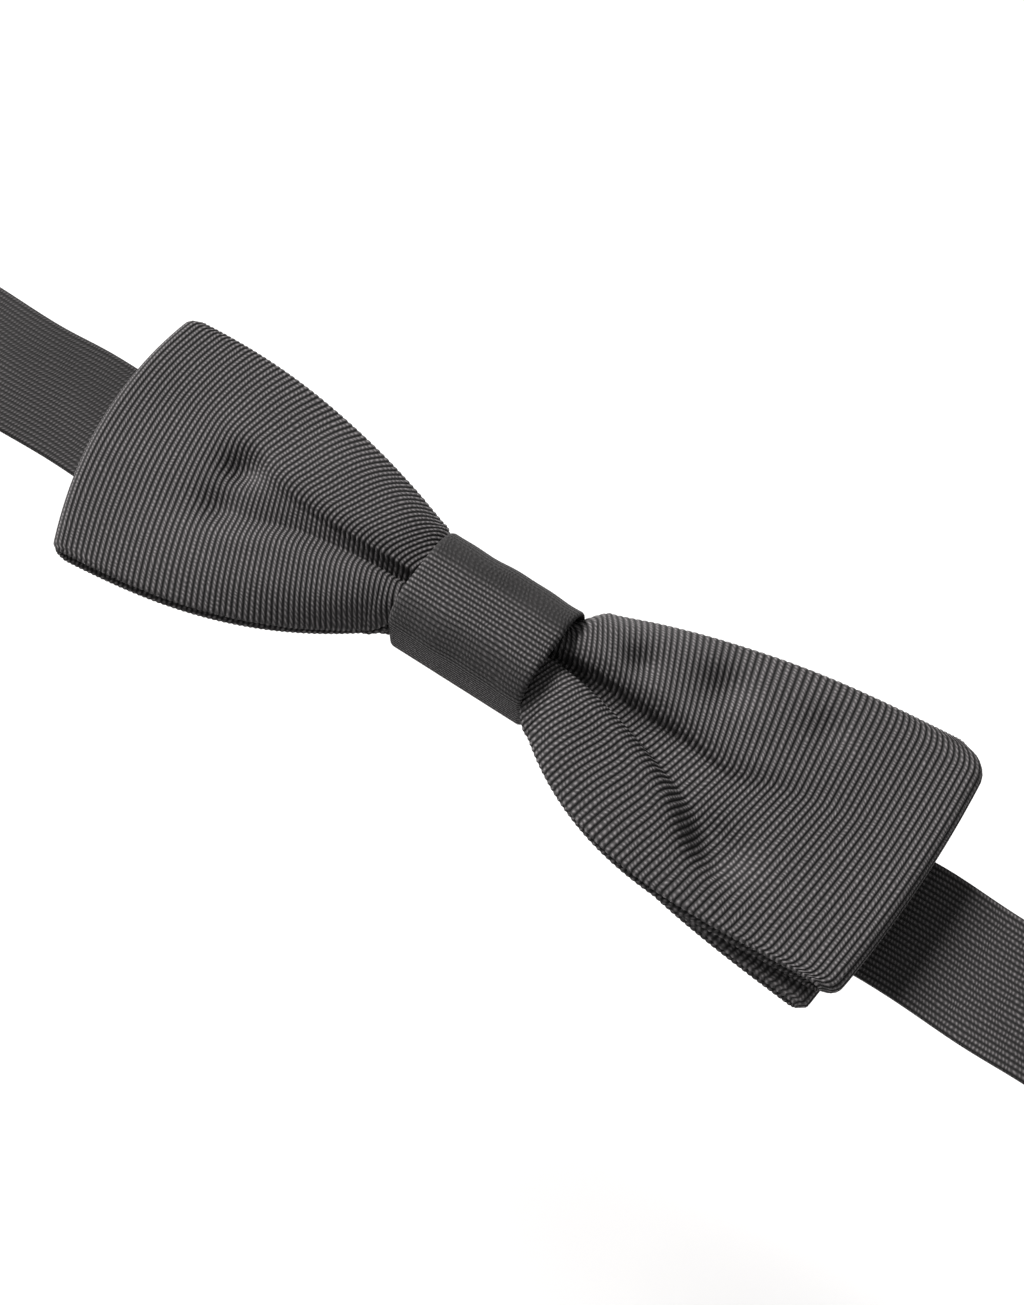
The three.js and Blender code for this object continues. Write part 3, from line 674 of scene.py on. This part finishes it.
def make_interlining(name, loop, node):
    """A stiff strip inside a loop, lying on its back leaf."""
    columns, rows = 150, 26
    left, right = (loop[side]["reach"][1] - loop["half"] - LINING_END_GAP for side in ("left", "right"))
    x = np.linspace(-left, right, columns)
    turn = np.full(columns, math.pi)
    share = np.linspace(0, 1, rows)
    leaf = loop_surface(loop, x, turn, share, np.zeros(rows), np.zeros(rows), False)
    height = leaf[:, -1, 1] - leaf[:, 0, 1]
    up = (leaf[:, :, 1] - leaf[:, :1, 1]) / height[:, None]
    leaf[:, :, 1] = leaf[:, :1, 1] + LINING_INSET + up * (height - 2 * LINING_INSET)[:, None]
    lower, upper = (leaf + np.array([0, 0, CLOTH + level]) for level in LINING_LEVELS)
    points = np.concatenate([upper, lower[:, ::-1]], axis=1)
    weave = np.zeros((columns, points.shape[1] + 1, 2))
    piece = grid_object(name, points, weave, CANVAS)
    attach(piece, "bow")
    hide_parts(node)


make_interlining("front_lining", FRONT, "front_interlining")
make_interlining("rear_lining", REAR, "rear_interlining")


# ---------- the knot ----------

KNOT_LENGTH = 20.0
KNOT_LOW = -5.85
KNOT_HIGH = 9.0
KNOT_TOP = 13.1
KNOT_CLOTH = 0.68
KNOT_RIBS = 76  # round the knot
KNOT_RIB_SAMPLES = 6
KNOT_RIB_HEIGHT = 0.085
KNOT_ROWS, KNOT_INNER_ROWS = 34, 10
KNOT_CORNERS = (4.6, 3.0)  # radii at the front and at the back
KNOT_INNER_CORNERS = (3.8, 2.2)
KNOT_CROWN = 0.25  # how far its middle stands above its two ends
KNOT_DENT = 0.35
FLAT_DARK_SHARE = 0.92  # how much of the ribs' light and dark gives way to the flat dark tone where the cloth is pulled smooth: painted shade
SEAM_OFFSET = 4.2
SEAM_WIDTH = 1.8
SEAM_DEPTH = 0.5
SEAM_REACH = 8.6


def rounded_section(low_y, high_y, low_z, high_z, front_corner, back_corner, count):
    """Evenly spaced points round a rectangle with rounded corners, and the length round it. It starts in
    the middle of the back and goes towards the foot."""
    path = []
    arc = np.linspace(0, math.pi / 2, 24)
    corners = [(low_y, low_z, back_corner, math.pi * 1.5), (low_y, high_z, front_corner, math.pi),
               (high_y, high_z, front_corner, math.pi / 2), (high_y, low_z, back_corner, 0.0)]
    for y, z, radius, start in corners:
        centre_y = y + radius if y == low_y else y - radius
        centre_z = z + radius if z == low_z else z - radius
        for angle in start - arc:
            path.append((centre_y + radius * math.cos(angle), centre_z + radius * math.sin(angle)))
    middle = ((low_y + high_y) / 2, low_z)
    path = np.array([middle] + path + [middle])
    steps = run_along(path)
    at = np.linspace(0, steps[-1], count, endpoint=False)
    return np.stack([np.interp(at, steps, path[:, k]) for k in (0, 1)], 1), steps[-1]


def make_knot_cover():
    """The ribbon round the middle: a tube whose ribs run along the knot, with its seam behind."""
    count = KNOT_RIBS * KNOT_RIB_SAMPLES
    outer, length = rounded_section(KNOT_LOW, KNOT_HIGH, 0, KNOT_TOP, *KNOT_CORNERS, count)
    inner, _ = rounded_section(KNOT_LOW + KNOT_CLOTH, KNOT_HIGH - KNOT_CLOTH, KNOT_CLOTH,
                               KNOT_TOP - KNOT_CLOTH, *KNOT_INNER_CORNERS, count)
    # x and depth run along the outside, round the edge at +X, back along the inside and round the other.
    half = KNOT_LENGTH / 2
    outside_end, bend_end, inside_end = half - 0.4, half - 0.1, half - 0.3
    x = np.concatenate([np.linspace(-outside_end, outside_end, KNOT_ROWS), [bend_end, half],
                        np.linspace(inside_end, -inside_end, KNOT_INNER_ROWS), [-half, -bend_end]])
    depth = np.concatenate([np.zeros(KNOT_ROWS), [0.22, 0.55], np.ones(KNOT_INNER_ROWS), [0.55, 0.22]])
    section = outer[:, None] * (1 - depth[None, :, None]) + inner[:, None] * depth[None, :, None]
    y, z = section[..., 0].copy(), section[..., 1].copy()
    front_share = ease((z - 5) / 6)
    wobble = 0.10 * np.sin(x * 0.52 + 0.6)[None] + 0.05 * np.sin(x * 1.1 + 2.0)[None]
    side_share = np.clip((y - KNOT_OFFSET) / 7.8, -1, 1)
    y = y + wobble * front_share * np.abs(side_share)
    crown = KNOT_CROWN * (1 - (x / half)**2)[None]
    z = z + front_share * (crown - KNOT_CROWN)
    dent = KNOT_DENT * np.exp(-((x - 2.5) / 4.5)**2)[None] * np.exp(-((y - 5.6) / 2.0)**2)
    z = z - front_share * dent
    in_seam = ease((SEAM_WIDTH / 2 + 0.1 - np.abs(y - SEAM_OFFSET)) / 0.35) * (z < 1) * (depth[None] < 0.1)
    z = z + SEAM_DEPTH * in_seam * ease((SEAM_REACH - np.abs(x))[None] / 0.4)
    points = np.stack([np.broadcast_to(x[None], y.shape), y, z], 2)
    counts = np.arange(count + 1) / KNOT_RIB_SAMPLES
    # The cloth is pulled smooth over the top third and partly at the foot, so its ribs are shallow there.
    # The same share paints the colour there a flat dark tone, which is painted shade.
    smooth_shaded_top, smooth_shaded_foot = ease((side_share - 0.2) / 0.3), 0.55 * ease((-side_share - 0.35) / 0.3)
    smooth = np.maximum(smooth_shaded_top, smooth_shaded_foot) * front_share
    heights = KNOT_RIB_HEIGHT * rib_shape(counts[:-1])[:, None] * (1 - 0.85 * smooth)
    heights = heights * (1 - 0.8 * (depth[None] > 0.9))
    points = raised(points, heights, closed=True)
    weave = np.zeros((count + 1, len(x) + 1, 2))
    wave = 0.25 * np.sin(x * 0.7)
    weave[..., 0] = counts[:, None]
    weave[:, :-1, 1] = (x + wave)[None]
    weave[:, -1, 1] = weave[:, 0, 1]
    piece = grid_object("knot_cover", points, weave, KNOT_FAILLE, closed=True, flat_dark=FLAT_DARK_SHARE * smooth)
    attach(piece, "bow")
    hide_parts("knot_wrap")


make_knot_cover()


PAD_HALF_LENGTH = 8.8
PAD_HALF_WIDTH = 5.4
PAD_LOW, PAD_MIDDLE, PAD_HIGH = 10.7, 11.3, 12.0
PAD_CORNERS = (0.6, 0.5)


def make_knot_pad():
    """Wadding that rounds the front of the knot."""
    count, around = 30, 96
    section, _ = rounded_section(KNOT_OFFSET - PAD_HALF_WIDTH, KNOT_OFFSET + PAD_HALF_WIDTH,
                                 PAD_LOW, PAD_HIGH, *PAD_CORNERS, around)
    x = np.linspace(-PAD_HALF_LENGTH, PAD_HALF_LENGTH, count)
    pinch = 1 - 0.12 * (np.abs(x) / PAD_HALF_LENGTH)**6
    y = KNOT_OFFSET + (section[:, 0] - KNOT_OFFSET)[None] * pinch[:, None]
    crown = 0.18 * np.cos(np.clip((y - KNOT_OFFSET) / PAD_HALF_WIDTH, -1, 1) * math.pi / 2)
    z = section[:, 1][None] + crown * (section[:, 1] > PAD_MIDDLE)[None] - 0.1
    points = np.stack([np.broadcast_to(x[:, None], y.shape), y, z], 2)
    lumps = 0.05 * np.sin(x * 3.1)[:, None] * np.sin(y * 2.3)
    points = raised(points, lumps, closed=False)
    piece = grid_object("knot_pad", points, np.zeros((count, around + 1, 2)), WADDING)
    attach(piece, "bow")
    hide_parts("knot_padding")


make_knot_pad()


# ---------- threads ----------

THREAD_STEP = 0.16  # between two rings of a thread's points
THREAD_SIDES = 10
PLY_SWELL = 0.12  # two plies make a thread's section slightly oval
BINDING_RADIUS, SEAM_RADIUS, TACK_RADIUS = 0.22, 0.13, 0.17


def smooth_path(points):
    """Points a step apart along a rounded curve through the given ones."""
    points = np.array(points, float)
    length = run_along(points)
    at = np.linspace(0, length[-1], max(8, int(length[-1] / THREAD_STEP)))
    return np.stack([follow(np.stack([length, points[:, k]], 1), at) for k in range(3)], 1)


def make_thread(name, points, radius, node):
    path = smooth_path(points)
    tangent = np.gradient(path, axis=0)
    tangent /= np.linalg.norm(tangent, axis=1, keepdims=True)
    normal = np.cross(tangent[0], [0.31, 0.17, 0.93])
    frames = []
    for t in tangent:
        normal = normal - t * np.dot(normal, t)
        normal = normal / np.linalg.norm(normal)
        frames.append(normal)
    normal = np.array(frames)
    binormal = np.cross(tangent, normal)
    angle = np.arange(THREAD_SIDES) / THREAD_SIDES * 2 * math.pi
    run = np.arange(len(path)) * THREAD_STEP
    swell = 1 + PLY_SWELL * np.cos(2 * angle[None] + run[:, None] * 5.0)
    ends = np.minimum(1, 0.35 + np.minimum(run, run[::-1]) / (1.2 * radius))
    ring = np.cos(angle)[None, :, None] * normal[:, None] + np.sin(angle)[None, :, None] * binormal[:, None]
    points = path[:, None] + ring * (radius * swell * ends[:, None])[..., None]
    weave = np.zeros((len(path), THREAD_SIDES + 1, 2))
    weave[..., 0] = np.arange(THREAD_SIDES + 1)[None] / THREAD_SIDES
    weave[..., 1] = run[:, None]
    piece = grid_object(name, points, weave, THREAD)
    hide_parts(node)
    return piece


def make_binding():
    """Three turns of thread round the bow's waist, nearly square because the loops under it are flat."""
    turns, pitch, in_turn = 3, 1.0, 16
    half_y, half_z, middle = 6.15, 3.7, 6.35
    corner_limit = 1.38
    points = []
    for i in range(in_turn * turns + 1):
        angle = 2 * math.pi * i / in_turn
        square = min(corner_limit, 1 / max(abs(math.cos(angle)), abs(math.sin(angle))))
        points.append((pitch * (i / in_turn - turns / 2), KNOT_OFFSET + half_y * math.cos(angle) * square,
                       middle + half_z * math.sin(angle) * square))
    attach(make_thread("waist_binding", points, BINDING_RADIUS, "waist_binding_thread"), "bow")


def make_seam_stitches():
    """Slanting stitches that close the wrap along its back."""
    stitches = 22
    points = []
    for i in range(stitches + 1):
        x = -8.0 + 16.0 * i / stitches
        points.append((x, SEAM_OFFSET + (-0.6 if i % 2 == 0 else 0.6), 0.14 + 0.10 * (i % 2)))
    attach(make_thread("seam_stitches", points, SEAM_RADIUS, "knot_closing_stitches"), "bow")


make_binding()
make_seam_stitches()


# ---------- the band ----------

BAND_HALF = 8.85
BAND_RIBS = 25
BAND_HALF_THICKNESS = 0.42
BAND_RIB_HEIGHT = 0.07
RIB_SAMPLES = 5
EDGE_ROUNDING = 0.15  # how far the ribbon's rounded edges stand out
FOLD_MIDDLE = 1.5  # from a bar's axis to the middle of the cloth round it
FOLD_HEIGHT = 2.0  # of a bar's axis
HOOK_BAR, SLIDER_BAR = 166.5, 194.0
JOINTS = (18.0, 71.0, 134.0)  # where one stretch of ribbon passes into the next
LOW_MIDDLE = 0.5
THROUGH_MIDDLE = 4.8  # the ribbon's height over the slider's fold
PATH_STEP = 0.9
BAND_FOOT_IN_KNOT, BAND_TOP_IN_KNOT = -3.8, 6.2
TUCK_START, TUCK_LENGTH = 10.6, 15.4
RISE_START, RISE_END = 157.6, 165  # where the band climbs to the height of the slider's fold
THROUGH_END = 206


def arc(centre_x, centre_z, radius, start, end):
    angle = np.radians(np.linspace(start, end, 14))
    return [(centre_x + radius * math.cos(a), centre_z + radius * math.sin(a)) for a in angle]


def resampled(path):
    """The path with more points, a step apart, that keeps its own. Also how far along it each one is."""
    path = np.array(path, float)
    length = run_along(path)
    keep = np.concatenate([[True], np.diff(length) > 1e-6])
    path, length = path[keep], length[keep]
    regular = np.linspace(0, length[-1], max(4, int(length[-1] / PATH_STEP) + 1))
    at = np.unique(np.concatenate([regular, length[1:-1]]))
    at = at[np.concatenate([[True], np.diff(at) > 0.12])]
    at[-1] = length[-1]
    return np.stack([np.interp(at, length, path[:, k]) for k in (0, 1)], 1), at


def ribbon_wave(x):
    """The small waves that handling leaves in a ribbon: sideways and up and down."""
    free = ease((np.abs(x) - 24) / 20) * ease((152 - np.abs(x)) / 14)
    sideways = 0.22 * np.sin(x * 0.105 + 0.7) + 0.13 * np.sin(x * 0.29 + 1.9) - 0.45 - 0.15 * np.sign(x)
    upright = 0.22 * np.sin(x * 0.083 + 0.4) + 0.10 * np.sin(x * 0.23)
    return sideways * free, upright * free


def make_ribbon(name, path, nodes, narrow=None, half_thickness=BAND_HALF_THICKNESS, waves=True):
    """A stretch of the band along a path of (x, z) points. narrow gives its edges where it isn't full
    width: a function of x that returns the foot and the top."""
    path, run = resampled(path)
    tangent = np.gradient(path, run, axis=0)
    tangent /= np.linalg.norm(tangent, axis=1, keepdims=True)
    normal = np.stack([-tangent[:, 1], tangent[:, 0]], 1)
    face = BAND_RIBS * RIB_SAMPLES
    share = np.linspace(0, 1, face + 1)
    counts = np.concatenate([share * BAND_RIBS, [BAND_RIBS + 0.5], share[::-1] * BAND_RIBS, [-0.5]])
    across = np.concatenate([share, [1], share[::-1], [0]])
    push = np.concatenate([0 * share, [1], 0 * share, [-1]])
    level = np.concatenate([0 * share + 1, [0], 0 * share - 1, [0]])
    edges = (np.full(len(path), -BAND_HALF), np.full(len(path), BAND_HALF))
    if narrow:
        edges = narrow(path[:, 0])
    sideways, upright = ribbon_wave(path[:, 0]) if waves else (0 * run, 0 * run)
    foot, top = edges[0] + sideways, edges[1] + sideways * 1.2
    y = foot[:, None] + (top - foot)[:, None] * across[None] + EDGE_ROUNDING * push[None]
    ripple = 0.05 * np.sin(path[:, :1] * 0.5 + y * 0.9) if waves else 0 * y
    offset = level[None] * half_thickness + ripple
    points = np.stack([path[:, :1] + normal[:, :1] * offset, y,
                       path[:, 1:] + normal[:, 1:] * offset + upright[:, None]], 2)
    heights = BAND_RIB_HEIGHT * rib_shape(counts) * np.abs(level)
    points = raised(points, np.broadcast_to(heights[None], y.shape), closed=False)
    weave = np.zeros((len(path), len(counts) + 1, 2))
    weave[:, :-1, 0] = counts[None]
    weave[:, -1, 0] = counts[0]
    weave[..., 1] = run[:, None] + path[0, 0]
    # Left of the bow the ribbon's rib colour gives way to a flatter, darker tone, most of all in its upper
    # half.
    x = points[..., 0]
    smooth = ease((-38 - x) / 12) * ease((110 + x) / 30) * (0.45 + 0.2 * ease((y + 3) / 6))
    piece = grid_object(name, points, weave, BAND_FAILLE, flat_dark=smooth)
    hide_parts(*nodes)
    return piece


def knot_ramp(x):
    """The band's height where it passes through the knot, under the bow."""
    return LOW_MIDDLE + 1.1 * (1 - ease((np.abs(x) - 11.0) / 7.0))


def tucked_edges(x):
    """The band's foot and top where the knot squeezes it narrow."""
    share = ease((np.abs(x) - TUCK_START) / TUCK_LENGTH)
    foot = BAND_FOOT_IN_KNOT + (-BAND_HALF - BAND_FOOT_IN_KNOT) * share
    return foot, BAND_TOP_IN_KNOT + (BAND_HALF - BAND_TOP_IN_KNOT) * share


def mirrored(path):
    return [(-x, z) for x, z in path]


def line(start, end, z=LOW_MIDDLE):
    return [(start, z), (end, z)]


def bend_at(piece):
    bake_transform(piece)


def hem_path(bar, inward):
    """From the tail's end, up its slope, round the bar and back under. inward is where the band
    comes from."""
    side = math.copysign(1, bar - inward)
    slope = [(9.0, 1.5), (5.2, 1.5), (3.6, 2.1), (2.2, 3.15), (1.0, 3.5)]
    tail = [(bar - side * away, z) for away, z in slope]
    start, end = (90, -90) if side > 0 else (90, 270)
    return tail + arc(bar, FOLD_HEIGHT, FOLD_MIDDLE, start, end)


def make_bands():
    """The band from the hook to where it passes through the slider."""
    middle = [(x, float(knot_ramp(x))) for x in np.linspace(-JOINTS[0], JOINTS[0], 41)]
    piece = make_ribbon("band_middle", middle, ["neckband_centre"], narrow=tucked_edges)
    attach(piece, "bow")
    for side, label in ((-1, "left"), (1, "right")):
        turned = mirrored if side < 0 else list
        for k, letter in enumerate("ab"):
            path = turned(line(JOINTS[k], JOINTS[k + 1]))
            node = f"neckband_{label}_{k + 1}"
            piece = make_ribbon(f"band_{label}_{letter}", path, [node], narrow=tucked_edges)
            bend_at(piece)

    hem = hem_path(HOOK_BAR, 0)
    left = mirrored(hem[::-1])
    path = line(-JOINTS[2], -HOOK_BAR) + left[1:]
    piece = make_ribbon("band_left_c", path, ["neckband_left_3"])
    bend_at(piece)

    climb = THROUGH_MIDDLE - LOW_MIDDLE
    rise = [(x, float(LOW_MIDDLE + climb * ease((x - RISE_START) / 7.4)))
            for x in np.linspace(RISE_START, RISE_END, 10)]
    path = [(JOINTS[2], LOW_MIDDLE)] + rise + [(THROUGH_END, THROUGH_MIDDLE)]
    piece = make_ribbon("band_right_c", path, ["neckband_right_3"])
    bend_at(piece)


make_bands()


# ---------- the adjuster ----------

TURN_CENTRE, TURN_RADIUS, TURN_HEIGHT = 221.55, 2.15, 2.65
HEM_END = 197.4  # short enough to clear the eye's turn when the slider is at its outer limit
RUN_START = 203.3
LEG_END = 218.5


def make_adjuster():
    """The band's sewn end on the slider, and its two layers between the slider and the eye."""
    # The sewn end: round the slider's bar with its tail lying back on the band.
    hem = hem_path(SLIDER_BAR, 300)
    path = hem + [(SLIDER_BAR, LOW_MIDDLE), (HEM_END, LOW_MIDDLE)]
    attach(make_ribbon("slider_hem", path, ["slider_fold"], waves=False), "slider")

    # Between the slider and the eye the ribbon's two layers slide along each other.
    lower = line(HEM_END, RUN_START + 13.5)
    near = make_ribbon("lower_run_near", lower, ["adjuster_run_lower"], waves=False)
    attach(near, "slider")
    turn = [(RUN_START + 2.5, LOW_MIDDLE - 0.03)] + arc(TURN_CENTRE, TURN_HEIGHT, TURN_RADIUS, -90, 90)
    turn += [(LEG_END, THROUGH_MIDDLE)]
    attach(make_ribbon("eye_turn", turn, ["adjuster_turn"], half_thickness=0.40, waves=False), "eye_loop")
    above = line(THROUGH_END, LEG_END, THROUGH_MIDDLE)
    upper = make_ribbon("upper_run", above, ["adjuster_run_upper"], waves=False)
    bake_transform(upper)


make_adjuster()


# The zigzags that hold the folds down: piece, CAD node, side, and distance from the middle.
BAR_TACKS = (("hook_tack", "hook_bar_tack", -1, 159.3), ("slider_tack", "slider_bar_tack", 1, 201.2))
TACK_HALF = 6.8
TACK_HEIGHT = 2.14


def make_bar_tacks():
    for name, node, side, at in BAR_TACKS:
        points = []
        for i in range(31):
            zigzag = -1.0 if i % 2 == 0 else 1.0
            points.append((side * (at + zigzag), TACK_HALF * (i / 15 - 1), TACK_HEIGHT + 0.05 * (i % 2)))
        piece = make_thread(name, points, TACK_RADIUS, node)
        if side < 0:
            bend_at(piece)
        else:
            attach(piece, "slider")


make_bar_tacks()


# ---------- the metal parts ----------

METAL_ROUNDING = 0.16
SHARP_ANGLE = 35  # degrees: an edge sharper than this is rounded


def copy_of_metal(node, name, body):
    """The CAD part with its sharp edges rounded off as tumbling rounds them."""
    work = bmesh.new()
    work.from_mesh(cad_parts[node].data)
    bmesh.ops.remove_doubles(work, verts=work.verts, dist=1e-7)
    bmesh.ops.dissolve_limit(work, angle_limit=math.radians(1), verts=work.verts, edges=work.edges)
    inner = [edge for edge in work.edges if len(edge.link_faces) == 2]
    sharp = [edge for edge in inner if edge.calc_face_angle(0) > math.radians(SHARP_ANGLE)]
    bmesh.ops.bevel(work, geom=sharp, offset=METAL_ROUNDING * MM, segments=3, profile=0.5,
                    affect="EDGES", clamp_overlap=True)
    mesh = bpy.data.meshes.new(name)
    work.to_mesh(mesh)
    work.free()
    mesh.polygons.foreach_set("use_smooth", [True] * len(mesh.polygons))
    mesh.set_sharp_from_angle(angle=math.radians(32))
    mesh.materials.clear()
    mesh.materials.append(METAL)
    piece = bpy.data.objects.new(name, mesh)
    show(piece)
    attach(piece, body)
    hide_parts(node)


copy_of_metal("hook", "band_hook", "hook")
copy_of_metal("slider", "band_slider", "slider")
copy_of_metal("eye", "band_eye", "eye")
